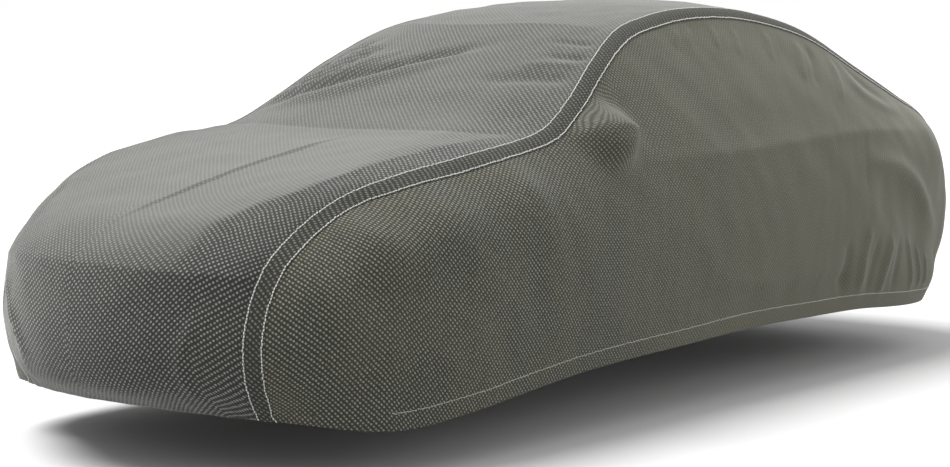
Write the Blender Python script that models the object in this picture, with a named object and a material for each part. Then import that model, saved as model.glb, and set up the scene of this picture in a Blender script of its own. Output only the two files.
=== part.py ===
"""Fitted car cover: a hollow cloth shell of three panels, joined by two flat seam tapes.

The nose points to -Y and the cover's left side is +X.
The centre panel runs from the front hem over bonnet, windscreen, roof and boot to the rear hem.
Each side panel is a height field, x over (y, z), between the seam and the hem.
"""
import bpy
import numpy as np

# The tables count z from the ground and y from halfway between the two arches.
# The part's own origin is this point of theirs, below the middle of the cover.
ORIGIN = (0.0, 0.075, 0.162)

# Cloth and sewing, in metres
CLOTH = 0.002
HEM_CLOTH = 0.004
HEM_HEIGHT = 0.060
TAPE = 0.0015
TAPE_HALF_WIDTH = 0.029
TAPE_GAP = 0.0006
PANEL_GAP = 0.0006

# Folds flatten out towards the tape: on the centre panel between these shares of its half
# width, on a side panel over this distance from the tape.
CENTRE_FOLD_END = (0.80, 0.95)
SIDE_FOLD_START = 0.06

# Mesh density
CENTRE_COLUMNS = 7
SIDE_ROWS = 13
SIDE_ROW_POWER = 1.3
HEM_SAMPLES = 300
HEM_SAMPLE_STEP = 10

# Sections, front to back: the middle of the centre panel (y, z), the left seam (x, y, z), the
# crown (a higher power keeps the middle flat for longer), the y at which the side panel's column
# from this section meets the hem, and the mesh steps to the next section.
SECTIONS = [
    # name,             mid_y, mid_z, seam_x, seam_y, seam_z, crown, hem_y, steps
    ("front_hem",       -2.15, 0.225, 0.570, -1.980, 0.200, 2.2, -1.968, 2),
    ("valance",         -2.26, 0.300, 0.585, -2.040, 0.310, 2.2, -1.920, 2),
    ("nose",            -2.30, 0.430, 0.600, -2.070, 0.440, 2.2, -1.880, 2),
    ("nose_top",        -2.285, 0.580, 0.610, -2.050, 0.570, 2.3, -1.830, 2),
    ("lip",             -2.235, 0.700, 0.625, -1.995, 0.685, 2.6, -1.770, 2),
    ("bonnet_front",    -2.12, 0.800, 0.640, -1.900, 0.770, 3.2, -1.690, 3),
    ("bonnet_fore",     -1.92, 0.875, 0.665, -1.730, 0.865, 4.5, -1.560, 3),
    ("bonnet_middle",   -1.62, 0.955, 0.715, -1.550, 0.925, 6.0, -1.420, 3),
    ("bonnet_back",     -1.32, 1.018, 0.750, -1.220, 0.980, 6.0, -1.170, 3),
    ("cowl",            -1.08, 1.063, 0.760, -0.930, 1.028, 5.0, -0.925, 2),
    ("screen_foot",     -0.97, 1.105, 0.765, -0.800, 1.058, 3.6, -0.790, 4),
    ("screen_low",      -0.76, 1.215, 0.735, -0.600, 1.155, 3.0, -0.610, 5),
    ("screen_middle",   -0.54, 1.330, 0.675, -0.375, 1.292, 2.8, -0.385, 5),
    ("header",          -0.32, 1.430, 0.605, -0.110, 1.415, 2.6, -0.120, 4),
    ("roof_front",      -0.05, 1.495, 0.575, 0.150, 1.470, 2.4, 0.150, 4),
    ("roof_middle",     0.40, 1.540, 0.570, 0.480, 1.500, 2.4, 0.480, 4),
    ("roof_back",       0.85, 1.535, 0.575, 0.850, 1.482, 2.4, 0.850, 4),
    ("glass_top",       1.22, 1.470, 0.600, 1.210, 1.413, 2.6, 1.200, 5),
    ("glass_middle",    1.62, 1.330, 0.640, 1.600, 1.256, 2.8, 1.510, 4),
    ("glass_foot",      1.98, 1.180, 0.670, 1.930, 1.120, 3.0, 1.720, 3),
    ("boot",            2.24, 1.090, 0.680, 2.120, 1.035, 3.4, 1.840, 2),
    ("boot_lip",        2.37, 1.010, 0.675, 2.220, 0.950, 3.0, 1.900, 2),
    ("tail",            2.43, 0.870, 0.650, 2.310, 0.820, 2.6, 1.960, 2),
    ("bumper",          2.45, 0.640, 0.630, 2.350, 0.620, 2.4, 2.030, 2),
    ("bumper_low",      2.42, 0.430, 0.610, 2.310, 0.430, 2.4, 2.090, 2),
    ("rear_hem",        2.30, 0.240, 0.590, 2.160, 0.215, 2.4, 2.145, 0),
]

# Lower edge of the left side panel between the two seams
HEM_LINE = [
    # x,     y,      z
    (0.700, -1.930, 0.195),
    (0.800, -1.840, 0.178),
    (0.860, -1.700, 0.163),
    (0.893, -1.450, 0.175),
    (0.903, -1.120, 0.207),
    (0.905, -0.800, 0.236),
    (0.905, -0.120, 0.260),
    (0.905, 0.300, 0.272),
    (0.905, 0.760, 0.268),
    (0.900, 1.220, 0.257),
    (0.888, 1.480, 0.238),
    (0.860, 1.740, 0.222),
    (0.800, 1.950, 0.215),
    (0.710, 2.080, 0.212),
]

# Half width x of the side panel without its folds, along five levels
SIDE_LEVELS = {
    # level: rows of y, z, x
    "tuck": [
        (-1.94, 0.31, 0.745), (-1.85, 0.30, 0.805), (-1.68, 0.29, 0.865), (-1.20, 0.30, 0.915),
        (1.60, 0.33, 0.893), (1.82, 0.33, 0.870), (1.95, 0.325, 0.845), (2.06, 0.33, 0.790),
    ],
    "sill": [
        (-1.96, 0.40, 0.740), (-1.87, 0.40, 0.810), (-1.72, 0.39, 0.865), (-1.50, 0.39, 0.905),
        (-1.15, 0.39, 0.922),
        (-0.40, 0.41, 0.925), (0.40, 0.42, 0.925), (1.00, 0.42, 0.922), (1.45, 0.42, 0.905),
        (1.75, 0.42, 0.875), (2.00, 0.42, 0.820), (2.18, 0.42, 0.750),
    ],
    "belly": [
        (-1.93, 0.60, 0.755), (-1.77, 0.60, 0.840), (-1.50, 0.61, 0.905), (-1.10, 0.63, 0.930),
        (-0.40, 0.66, 0.932), (0.40, 0.68, 0.932), (1.00, 0.69, 0.930), (1.45, 0.69, 0.915),
        (1.80, 0.68, 0.880), (2.05, 0.67, 0.830), (2.22, 0.65, 0.765),
    ],
    "shoulder": [
        (-1.75, 0.80, 0.775), (-1.45, 0.86, 0.845), (-1.05, 0.92, 0.865), (-0.55, 0.96, 0.865),
        (0.00, 0.985, 0.860), (0.60, 1.00, 0.860), (1.20, 1.01, 0.850), (1.60, 1.005, 0.830),
        (1.95, 0.99, 0.790), (2.13, 0.96, 0.740),
    ],
    "window": [
        (-0.35, 1.15, 0.755), (0.00, 1.21, 0.745), (0.45, 1.25, 0.735), (0.90, 1.23, 0.740),
        (1.35, 1.15, 0.765),
    ],
}

# Round swellings of the side panel: middle (y, z), reach along y and z, height.
# A bluntness of 1 gives a bell; a higher one flattens its top and steepens its flank.
SWELL_BLUNTNESS = 1.5
SIDE_SWELLS = [
    # name,         y,     z,    reach_y, reach_z, height
    ("mirror",     -0.54, 1.040, 0.125, 0.090, 0.115),
    ("front_arch", -1.38, 0.460, 0.330, 0.220, 0.012),
    ("rear_arch",   1.45, 0.480, 0.330, 0.240, 0.014),
]

# Folds of the side panel, as ridges or troughs (below 0) between two points
SIDE_FOLDS = [
    # name,           y0,    z0,    y1,    z1,    width, height
    ("shoulder_line", 0.55, 0.985, 2.05, 0.985, 0.030, 0.010),
    ("arch_front",    1.35, 0.840, 1.62, 0.805, 0.035, 0.010),
    ("arch_middle",   1.62, 0.805, 1.80, 0.665, 0.035, 0.016),
    ("arch_back",     1.80, 0.665, 1.99, 0.460, 0.035, 0.016),
    ("gather_1",      1.23, 0.560, 1.15, 0.330, 0.035, 0.012),
    ("gather_2",      1.48, 0.530, 1.39, 0.320, 0.035, 0.016),
    ("gather_3",      1.66, 0.510, 1.66, 0.300, 0.035, 0.014),
    ("gather_4",      1.82, 0.450, 1.78, 0.290, 0.030, 0.012),
]

# Folds of the centre panel over (x, y), seen from above
CENTRE_FOLDS = [
    # name,          x0,    y0,    x1,    y1,    width, height
    ("bonnet_line",  0.05, -2.10, 0.20, -1.15, 0.040, 0.006),
    ("screen_1",    -0.62, -0.75, 0.00, -0.62, 0.050, 0.012),
    ("screen_2",    -0.60, -0.62, 0.05, -0.48, 0.050, 0.012),
    ("screen_3",    -0.56, -0.48, 0.00, -0.36, 0.050, 0.010),
    ("screen_4",    -0.50, -0.34, -0.05, -0.28, 0.050, 0.008),
]


def smooth_curve(points, measured=3):
    """Curve through rows of values as a function of the row's number.

    Its tangents follow the chord lengths of the first measured values of each row.
    """
    points = np.array(points, float)
    chords = np.linalg.norm(np.diff(points[:, :measured], axis=0), axis=1)
    slopes = np.diff(points, axis=0) / chords[:, None]
    before = chords[:-1, None]
    after = chords[1:, None]
    middle = (slopes[:-1] * after + slopes[1:] * before) / (before + after)
    tangents = np.vstack([slopes[:1], middle, slopes[-1:]])

    def place(number):
        i = min(int(number), len(chords) - 1)
        f = number - i
        return (
            points[i] * (1 + 2 * f) * (1 - f) ** 2
            + tangents[i] * chords[i] * f * (1 - f) ** 2
            + points[i + 1] * f * f * (3 - 2 * f)
            + tangents[i + 1] * chords[i] * f * f * (f - 1)
        )

    return place


def smooth_surface(places, values):
    """Thin-plate surface through scattered places in a plane, as a function of new places."""
    count = len(places)

    def kernel(new):
        square = ((new[:, None, :] - places[None, :, :]) ** 2).sum(axis=2)
        return square * np.log(square + 1e-12)

    def plane(new):
        return np.hstack([np.ones((len(new), 1)), new])

    system = np.zeros((count + 3, count + 3))
    system[:count, :count] = kernel(places)
    system[:count, count:] = plane(places)
    system[count:, :count] = plane(places).T
    weights = np.linalg.solve(system, np.append(values, np.zeros(3)))

    def height(new):
        return kernel(new) @ weights[:count] + plane(new) @ weights[count:]

    return height


def unit(vectors):
    return vectors / np.linalg.norm(vectors, axis=-1, keepdims=True)


def fade(value, start, end):
    """0 before start, 1 after end, smooth between them."""
    f = np.clip((value - start) / (end - start), 0.0, 1.0)
    return f * f * (3 - 2 * f)


def fold_height(places, folds):
    """Height of all folds of a table at places in the panel's own plane."""
    height = np.zeros(places.shape[:-1])
    for name, a0, b0, a1, b1, width, top in folds:
        start = np.array([a0, b0])
        run = np.array([a1, b1]) - start
        f = ((places - start) @ run) / (run @ run)
        near = start + np.clip(f, 0.0, 1.0)[..., None] * run
        square = ((places - near) ** 2).sum(axis=-1)
        height += top * np.exp(-square / width ** 2)
    return height


def swell_height(places, swells):
    """Height of blunt round swellings at places on the side panel."""
    height = np.zeros(places.shape[:-1])
    for name, y, z, reach_y, reach_z, top in swells:
        square = ((places[..., 0] - y) / reach_y) ** 2 + ((places[..., 1] - z) / reach_z) ** 2
        height += top * np.exp(-square ** SWELL_BLUNTNESS)
    return height


def station_numbers():
    """Section numbers of the mesh stations, from the front hem to the rear hem."""
    numbers = []
    for i, row in enumerate(SECTIONS[:-1]):
        steps = row[-1]
        numbers += [i + k / steps for k in range(steps)]
    return numbers + [len(SECTIONS) - 1]


def section_values():
    """mid_y, mid_z, seam_x, seam_y, seam_z, crown and hem_y at every station."""
    section = smooth_curve([row[1:8] for row in SECTIONS], measured=5)
    return np.array([section(number) for number in station_numbers()])


def grid_normals(grid):
    """Outward unit normals of a grid whose rows run to the rear and columns to the left or down."""
    return unit(np.cross(np.gradient(grid, axis=1), np.gradient(grid, axis=0)))


def centre_grid(values):
    """Points of the centre panel, station by station from the right seam to the left one."""
    strip = TAPE_HALF_WIDTH / values[:, 2]
    half = np.linspace(0.0, 1.0, CENTRE_COLUMNS + 1)[None, :] * (1 - strip)[:, None]
    half = np.hstack([half, np.ones((len(values), 1))])
    across = np.hstack([-half[:, :0:-1], half])
    mid_y, mid_z, seam_x, seam_y, seam_z, crown = (values[:, k, None] for k in range(6))
    rise = np.abs(across) ** crown
    grid = np.stack([
        seam_x * across,
        mid_y + (seam_y - mid_y) * rise,
        mid_z + (seam_z - mid_z) * rise,
    ], axis=-1)
    clear = 1 - fade(np.abs(across), *CENTRE_FOLD_END)
    height = fold_height(grid[..., :2], CENTRE_FOLDS) * clear
    return grid + grid_normals(grid) * height[..., None]


def side_grid(values):
    """Points of the left side panel, station by station from the seam down to the hem."""
    seam = values[:, 2:5]
    hem_curve = smooth_curve([tuple(seam[0])] + HEM_LINE + [tuple(seam[-1])])
    hem = np.array([hem_curve(n) for n in np.linspace(0, len(HEM_LINE) + 1, HEM_SAMPLES)])
    hem_y = values[:, 6]
    foot = np.stack([hem_y, np.interp(hem_y, hem[:, 1], hem[:, 2])], axis=1)

    levels = np.array([row for level in SIDE_LEVELS.values() for row in level])
    hem_known = hem[HEM_SAMPLE_STEP:-HEM_SAMPLE_STEP:HEM_SAMPLE_STEP]
    known = np.vstack([seam[:, [1, 2, 0]], hem_known[:, [1, 2, 0]], levels])
    half_width = smooth_surface(known[:, :2], known[:, 2])

    # The second column runs along the tape's lower edge, half a tape's width from the seam.
    flat = seam[:, 1:]
    along = unit(np.gradient(flat, axis=0))
    inward = np.stack([along[:, 1], -along[:, 0]], axis=1)
    edge = flat + inward * TAPE_HALF_WIDTH
    slope = (half_width(edge) - half_width(flat)) / TAPE_HALF_WIDTH
    strip = flat + inward * (TAPE_HALF_WIDTH / np.sqrt(1 + slope ** 2))[:, None]
    strip[0] = foot[0]
    strip[-1] = foot[-1]

    # The last row is the hem, no wider than half of a short column near the seam.
    length = np.linalg.norm(foot - strip, axis=1)
    hem_part = np.minimum(HEM_HEIGHT / np.maximum(length, 1e-6), 0.5)
    parts = np.linspace(0.0, 1.0, SIDE_ROWS) ** SIDE_ROW_POWER * (1 - hem_part)[:, None]
    parts = np.hstack([parts, np.ones((len(values), 1))])
    places = strip[:, None, :] + (foot - strip)[:, None, :] * parts[..., None]
    x = half_width(places.reshape(-1, 2)).reshape(parts.shape)
    away = parts * length[:, None]
    relief = fold_height(places, SIDE_FOLDS) + swell_height(places, SIDE_SWELLS)
    x += relief * fade(away, 0.0, SIDE_FOLD_START)
    grid = np.concatenate([x[..., None], places], axis=-1)
    return np.concatenate([seam[:, None, :], grid], axis=1)


def grid_faces(rows, columns, mirror_before=0):
    """Outward triangles of a grid; columns before mirror_before have the mirrored diagonal."""
    faces = []
    for row in range(rows - 1):
        for column in range(columns - 1):
            a = row * columns + column
            b = a + 1
            c = a + columns + 1
            d = a + columns
            if column < mirror_before:
                faces += [(a, b, d), (b, c, d)]
            else:
                faces += [(a, b, c), (a, c, d)]
    return faces


def merge_end_points(faces, rows, columns):
    """Joins the points of the first and last row that lie in one place, past column 0."""
    first = 1
    last = (rows - 1) * columns + 1

    def kept(index):
        row, column = divmod(index, columns)
        if column == 0 or 0 < row < rows - 1:
            return index
        return first if row == 0 else last

    joined = [tuple(kept(index) for index in face) for face in faces]
    return [face for face in joined if len(set(face)) == 3]


def point_normals(points, faces):
    """Normals of points, each the mean of its faces' normals weighted by area."""
    faces = np.array(faces)
    a, b, c = (points[faces[:, k]] for k in range(3))
    total = np.zeros_like(points)
    for k in range(3):
        np.add.at(total, faces[:, k], np.cross(b - a, c - a))
    size = np.linalg.norm(total, axis=1, keepdims=True)
    return total / np.maximum(size, 1e-12)


def open_edges(faces):
    """Edges, in the direction of their face, that belong to one face only."""
    edges = {edge for a, b, c in faces for edge in ((a, b), (b, c), (c, a))}
    return [(a, b) for a, b in edges if (b, a) not in edges]


def shell_mesh(name, points, normals, depths, faces):
    """Closed sheet: the outer faces, their copy at a depth inside, and the faces between."""
    used = sorted({index for face in faces for index in face})
    number = {old: new for new, old in enumerate(used)}
    outer = points[used]
    inner = outer - normals[used] * depths[used, None]
    front = [tuple(number[index] for index in face) for face in faces]
    count = len(used)
    back = [(c + count, b + count, a + count) for a, b, c in front]
    rim = []
    for a, b in sorted(open_edges(front)):
        rim += [(b, a, a + count), (b, a + count, b + count)]
    mesh = bpy.data.meshes.new(name)
    places = np.vstack([outer, inner]) - ORIGIN
    mesh.from_pydata(places.tolist(), [], front + back + rim)
    mesh.shade_smooth()
    mesh.set_sharp_from_angle(angle=np.radians(60))
    return mesh


def cloth_material(name, colour, roughness):
    material = bpy.data.materials.new(name)
    material.use_nodes = True
    shader = material.node_tree.nodes["Principled BSDF"]
    shader.inputs["Base Color"].default_value = (*colour, 1.0)
    shader.inputs["Roughness"].default_value = roughness
    shader.inputs["Metallic"].default_value = 0.0
    return material


def add_piece(name, points, normals, depths, faces, colour):
    mesh = shell_mesh(name, points, normals, depths, faces)
    mesh.materials.append(cloth_material(name, colour, 0.85))
    piece = bpy.data.objects.new(name, mesh)
    bpy.context.scene.collection.objects.link(piece)


def add_pair(name, points, normals, depths, faces, colour):
    """The left piece and its mirror image on the right."""
    flip = np.array([-1.0, 1.0, 1.0])
    add_piece(name + "_left", points, normals, depths, faces, colour)
    turned = [(a, c, b) for a, b, c in faces]
    add_piece(name + "_right", points * flip, normals * flip, depths, turned, colour)


def main():
    for thing in list(bpy.data.objects):
        bpy.data.objects.remove(thing)

    values = section_values()
    rows = len(values)
    centre = centre_grid(values)
    side = side_grid(values)
    centre_columns = centre.shape[1]
    side_columns = side.shape[1]
    centre_points = centre.reshape(-1, 3)
    side_points = side.reshape(-1, 3)
    centre_faces = grid_faces(rows, centre_columns, mirror_before=centre_columns // 2)
    side_faces = merge_end_points(grid_faces(rows, side_columns), rows, side_columns)
    centre_normals = point_normals(centre_points, centre_faces)
    side_normals = point_normals(side_points, side_faces)

    # Both panels share one normal along the seam, so that their edges stay parallel.
    right_edge = np.arange(rows) * centre_columns
    left_edge = right_edge + centre_columns - 1
    top_edge = np.arange(rows) * side_columns
    seam = centre_points[left_edge]
    seam_normal = unit(centre_normals[left_edge] + side_normals[top_edge])
    to_centre = unit(np.cross(seam_normal, np.gradient(seam, axis=0)))
    flip = np.array([-1.0, 1.0, 1.0])
    centre_normals[left_edge] = seam_normal
    centre_normals[right_edge] = seam_normal * flip
    side_normals[top_edge] = seam_normal

    # The tape lies over the strips of both panels next to the seam.
    tape_under = np.stack([centre_points[left_edge - 1], seam, side_points[top_edge + 1]], axis=1)
    tape_normals = np.stack(
        [centre_normals[left_edge - 1], seam_normal, side_normals[top_edge + 1]], axis=1
    ).reshape(-1, 3)
    tape_points = tape_under.reshape(-1, 3) + tape_normals * (TAPE_GAP + TAPE)
    tape_faces = grid_faces(rows, 3)

    centre_points[left_edge] += to_centre * PANEL_GAP / 2
    centre_points[right_edge] += to_centre * flip * PANEL_GAP / 2
    side_points[top_edge] -= to_centre * PANEL_GAP / 2

    centre_depths = np.full((rows, centre_columns), CLOTH)
    centre_depths[[0, -1]] = HEM_CLOTH
    side_depths = np.full((rows, side_columns), CLOTH)
    side_depths[:, -1] = HEM_CLOTH

    olive = (0.150, 0.145, 0.120)
    dark = (0.085, 0.082, 0.070)
    add_piece("centre_panel", centre_points, centre_normals, centre_depths.ravel(),
              centre_faces, olive)
    add_pair("side_panel", side_points, side_normals, side_depths.ravel(), side_faces, olive)
    add_pair("seam_tape", tape_points, tape_normals, np.full(rows * 3, TAPE), tape_faces, dark)


main()
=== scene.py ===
"""Fitted car cover, dressed: dotted cloth panels, flat seam tapes, stitching and rolled hems."""
import math

import bpy
import numpy as np
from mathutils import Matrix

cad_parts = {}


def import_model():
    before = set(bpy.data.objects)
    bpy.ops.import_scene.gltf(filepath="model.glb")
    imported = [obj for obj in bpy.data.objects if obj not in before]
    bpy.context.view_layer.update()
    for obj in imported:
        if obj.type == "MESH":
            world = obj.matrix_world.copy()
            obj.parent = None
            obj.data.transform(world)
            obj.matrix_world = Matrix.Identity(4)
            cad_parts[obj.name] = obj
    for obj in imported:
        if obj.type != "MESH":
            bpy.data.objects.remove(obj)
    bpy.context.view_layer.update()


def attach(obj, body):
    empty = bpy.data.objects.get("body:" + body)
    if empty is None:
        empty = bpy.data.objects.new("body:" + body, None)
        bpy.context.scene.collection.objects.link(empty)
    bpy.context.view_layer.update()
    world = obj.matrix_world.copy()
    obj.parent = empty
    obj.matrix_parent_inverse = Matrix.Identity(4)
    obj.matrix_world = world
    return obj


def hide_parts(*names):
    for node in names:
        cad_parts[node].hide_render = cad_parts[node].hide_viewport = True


# The tables count z from the ground and y from halfway between the two arches.
# The part's own origin is this point of theirs, below the middle of the cover.
ORIGIN = np.array([0.0, 0.075, 0.162])

# Factors that turn a place of the left side into its mirror image on the right
MIRROR = np.array([-1.0, 1.0, 1.0])

# Tape and hem, in metres. The tape's lower half widens at the bonnet's front and again at the
# roof's, and narrows at the rear, each between two places y. Its rows lie at shares of its width,
# lifted off the panels and a little more along its middle, and its edges sink into the cloth.
TAPE_HALF_WIDTH = 0.029
TAPE_BONNET_EXTRA = 0.009
TAPE_ROOF_EXTRA = 0.009
TAPE_BONNET_Y = (-1.85, -1.45)
TAPE_ROOF_Y = (-0.30, 0.10)
TAPE_REAR_Y = (2.1, 1.8)
TAPE_LIFT = 0.0022
TAPE_CROWN = 0.0010
TAPE_EDGE_SINK = 0.0005
TAPE_SHARES = [0.0, 0.07, 0.20, 0.35, 0.50, 0.65, 0.80, 0.93, 1.0]
HEM_HEIGHT = 0.060
HEM_ROLL = 0.0025
HEM_INSIDE = 0.050
HEM_TURNS = np.linspace(0.25, 1.0, 4) * math.pi
HEM_INSIDE_SHARES = (0.3, 0.6, 1.0)
LARGEST_HEM_PART = 0.5

# Both panels run on under the tape by two more columns of their meshes. There they dive below
# the tape's arc: fully at the seam, and by a share of it one column before.
UNDER_TAPE = 2
DIVE_SHARES = (1.0, 0.6)
DIVE_CLEARANCE = 0.001

# Stitches: width and height of each kind, their pitch, how far they stray and slant, and how much
# of the pitch they fill. Rings along a stitch are (place in shares of its length, girth).
TAPE_STITCH = (0.0044, 0.0022)
HEM_STITCH = (0.0036, 0.0016)
HEM_STITCH_START_Y = -1.72
STITCH_PITCH = 0.0110
STITCH_STRAY = 0.0008
STITCH_SLANT = 0.12
STITCH_FILL = (0.84, 1.02)
STITCH_RINGS = [(-0.38, 0.80), (0.0, 1.0), (0.38, 0.80)]
STITCH_TURNS = np.radians([0, 45, 90, 135, 180])
TAPE_STITCH_ROWS = [
    # name, column of the tape, seed
    ("upper", 2, 9),
    ("lower", -3, 4),
]
HEM_STITCH_SEED = 3

# Mesh density: steps between CAD stations, rows of a side panel and of its hem band, samples of
# the hem's curve with every tenth of them used to shape the panel, and points along a fold
FINE = 7
SIDE_ROWS = 72
HEM_ROWS = 8
HEM_SAMPLES = 300
HEM_SAMPLE_STEP = 10
FOLD_CURVE_POINTS = 12

# Sections, front to back: the middle of the centre panel (y, z), the left seam (x, y, z), the
# crown (a higher power keeps the middle flat for longer), the y at which the side panel's column
# from this section meets the hem, and the CAD's steps to the next section.
SECTIONS = [
    # name,             mid_y, mid_z, seam_x, seam_y, seam_z, crown, hem_y, steps
    ("front_hem",       -2.15, 0.225, 0.570, -1.980, 0.200, 2.2, -1.968, 2),
    ("valance",         -2.26, 0.300, 0.585, -2.040, 0.310, 2.2, -1.920, 2),
    ("nose",            -2.30, 0.430, 0.600, -2.070, 0.440, 2.2, -1.880, 2),
    ("nose_top",        -2.285, 0.580, 0.610, -2.050, 0.570, 2.3, -1.830, 2),
    ("lip",             -2.235, 0.700, 0.625, -1.995, 0.685, 2.6, -1.770, 2),
    ("bonnet_front",    -2.12, 0.800, 0.640, -1.900, 0.770, 3.2, -1.690, 3),
    ("bonnet_fore",     -1.92, 0.875, 0.665, -1.730, 0.865, 4.5, -1.560, 3),
    ("bonnet_middle",   -1.62, 0.955, 0.715, -1.550, 0.925, 6.0, -1.420, 3),
    ("bonnet_back",     -1.32, 1.018, 0.750, -1.220, 0.980, 6.0, -1.170, 3),
    ("cowl",            -1.08, 1.063, 0.760, -0.930, 1.028, 5.0, -0.925, 2),
    ("screen_foot",     -0.97, 1.105, 0.765, -0.800, 1.058, 3.6, -0.790, 4),
    ("screen_low",      -0.76, 1.215, 0.735, -0.600, 1.155, 3.0, -0.610, 5),
    ("screen_middle",   -0.54, 1.330, 0.675, -0.375, 1.292, 2.8, -0.385, 5),
    ("header",          -0.32, 1.430, 0.605, -0.110, 1.415, 2.6, -0.120, 4),
    ("roof_front",      -0.05, 1.495, 0.575, 0.150, 1.470, 2.4, 0.150, 4),
    ("roof_middle",     0.40, 1.540, 0.570, 0.480, 1.500, 2.4, 0.480, 4),
    ("roof_back",       0.85, 1.535, 0.575, 0.850, 1.482, 2.4, 0.850, 4),
    ("glass_top",       1.22, 1.470, 0.600, 1.210, 1.413, 2.6, 1.200, 5),
    ("glass_middle",    1.62, 1.330, 0.640, 1.600, 1.256, 2.8, 1.510, 4),
    ("glass_foot",      1.98, 1.180, 0.670, 1.930, 1.120, 3.0, 1.720, 3),
    ("boot",            2.24, 1.090, 0.680, 2.120, 1.035, 3.4, 1.840, 2),
    ("boot_lip",        2.37, 1.010, 0.675, 2.220, 0.950, 3.0, 1.900, 2),
    ("tail",            2.43, 0.870, 0.650, 2.310, 0.820, 2.6, 1.960, 2),
    ("bumper",          2.45, 0.640, 0.630, 2.350, 0.620, 2.4, 2.030, 2),
    ("bumper_low",      2.42, 0.430, 0.610, 2.310, 0.430, 2.4, 2.090, 2),
    ("rear_hem",        2.30, 0.240, 0.590, 2.160, 0.215, 2.4, 2.145, 0),
]

# Lower edge of the left side panel between the two seams
HEM_LINE = [
    # x,     y,      z
    (0.700, -1.930, 0.195),
    (0.800, -1.840, 0.178),
    (0.860, -1.700, 0.163),
    (0.893, -1.450, 0.175),
    (0.903, -1.120, 0.207),
    (0.905, -0.800, 0.236),
    (0.905, -0.120, 0.260),
    (0.905, 0.300, 0.272),
    (0.905, 0.760, 0.268),
    (0.900, 1.220, 0.257),
    (0.888, 1.480, 0.238),
    (0.860, 1.740, 0.222),
    (0.800, 1.950, 0.215),
    (0.710, 2.080, 0.212),
]

# Half width x of the side panel without its folds, along five levels
SIDE_LEVELS = {
    # level: rows of y, z, x
    "tuck": [
        (-1.94, 0.31, 0.745), (-1.85, 0.30, 0.805), (-1.68, 0.29, 0.865), (-1.20, 0.30, 0.915),
        (1.60, 0.33, 0.893), (1.82, 0.33, 0.870), (1.95, 0.325, 0.845), (2.06, 0.33, 0.790),
    ],
    "sill": [
        (-1.96, 0.40, 0.740), (-1.87, 0.40, 0.810), (-1.72, 0.39, 0.865), (-1.50, 0.39, 0.905),
        (-1.15, 0.39, 0.922),
        (-0.40, 0.41, 0.925), (0.40, 0.42, 0.925), (1.00, 0.42, 0.922), (1.45, 0.42, 0.905),
        (1.75, 0.42, 0.875), (2.00, 0.42, 0.820), (2.18, 0.42, 0.750),
    ],
    "belly": [
        (-1.93, 0.60, 0.755), (-1.77, 0.60, 0.840), (-1.50, 0.61, 0.905), (-1.10, 0.63, 0.930),
        (-0.40, 0.66, 0.932), (0.40, 0.68, 0.932), (1.00, 0.69, 0.930), (1.45, 0.69, 0.915),
        (1.80, 0.68, 0.880), (2.05, 0.67, 0.830), (2.22, 0.65, 0.765),
    ],
    "shoulder": [
        (-1.75, 0.80, 0.775), (-1.45, 0.86, 0.845), (-1.05, 0.92, 0.865), (-0.55, 0.96, 0.865),
        (0.00, 0.985, 0.860), (0.60, 1.00, 0.860), (1.20, 1.01, 0.850), (1.60, 1.005, 0.830),
        (1.95, 0.99, 0.790), (2.13, 0.96, 0.740),
    ],
    "window": [
        (-0.35, 1.15, 0.755), (0.00, 1.21, 0.745), (0.45, 1.25, 0.735), (0.90, 1.23, 0.740),
        (1.35, 1.15, 0.765),
    ],
}

# Swellings of the side panel: middle (y, z), reach to the front, back, top and bottom, height,
# and bluntness (a higher power makes a flatter top with steeper sides).
SIDE_SWELLS = [
    # name,         y,     z,   front,  back,   top, bottom, height, bluntness
    ("mirror",     -0.52, 1.075, 0.120, 0.135, 0.062, 0.120, 0.110, 1.5),
    ("front_arch", -1.38, 0.460, 0.330, 0.330, 0.220, 0.220, 0.012, 1.0),
    ("rear_arch",   1.45, 0.480, 0.330, 0.330, 0.240, 0.240, 0.014, 1.0),
]

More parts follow.
